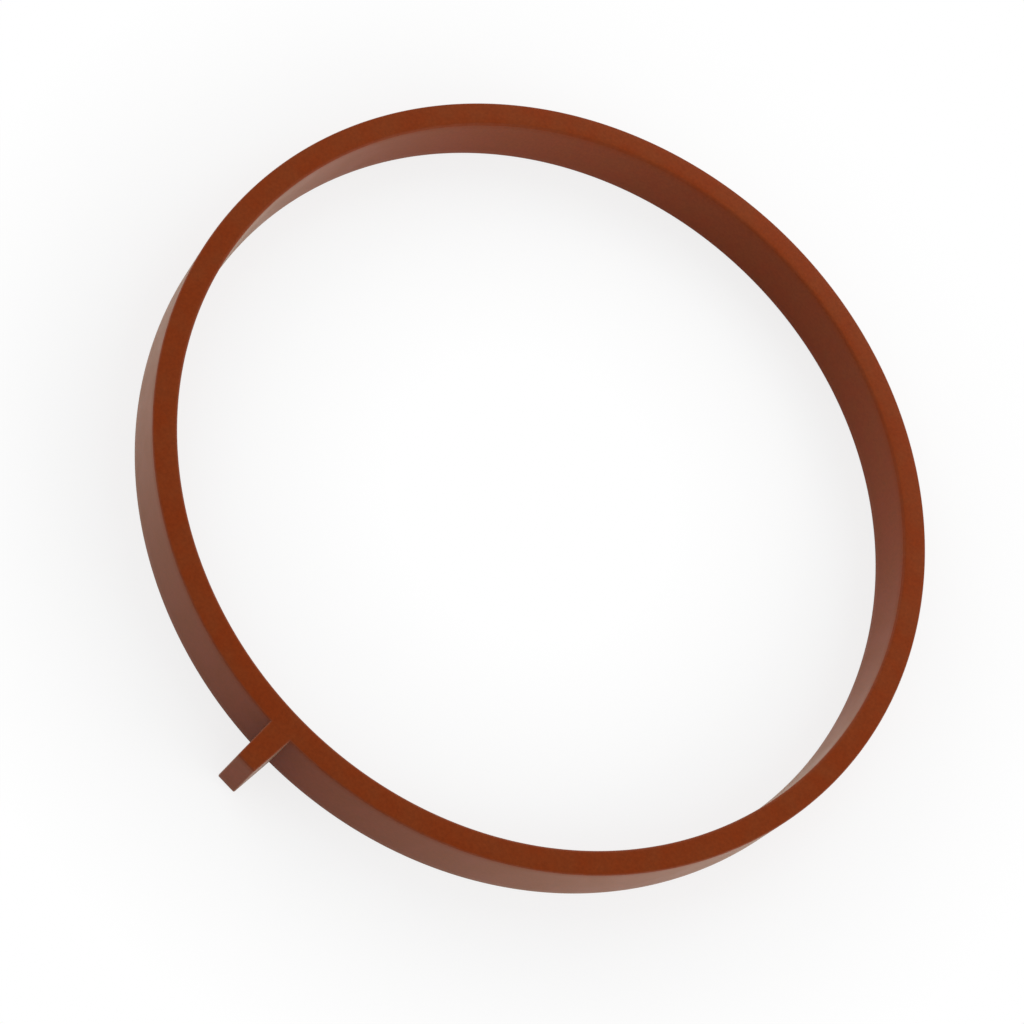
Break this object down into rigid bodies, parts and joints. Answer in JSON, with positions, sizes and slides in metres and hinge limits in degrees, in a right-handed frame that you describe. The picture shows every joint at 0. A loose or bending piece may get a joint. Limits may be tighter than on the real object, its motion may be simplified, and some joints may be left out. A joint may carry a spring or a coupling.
{
  "type": "throttle body gasket",
  "caption": "Rust-brown moulded rubber ring of tall rectangular section with a tapered locating tab on its outside, pressed on edge into a groove to seal a flange.",
  "frame": {"origin": "on the ring's axis, in the plane of its lower sealing face", "axes": "+Z along the ring's axis from the lower sealing face to the upper one; the locating tab points along -Y"},
  "size_m": [0.08, 0.0846, 0.0065],
  "materials": {
    "rubber": "matt moulded rubber, rust brown"
  },
  "bodies": {
    "root": {"gasket": "rubber"}
  },
  "joints": []
}
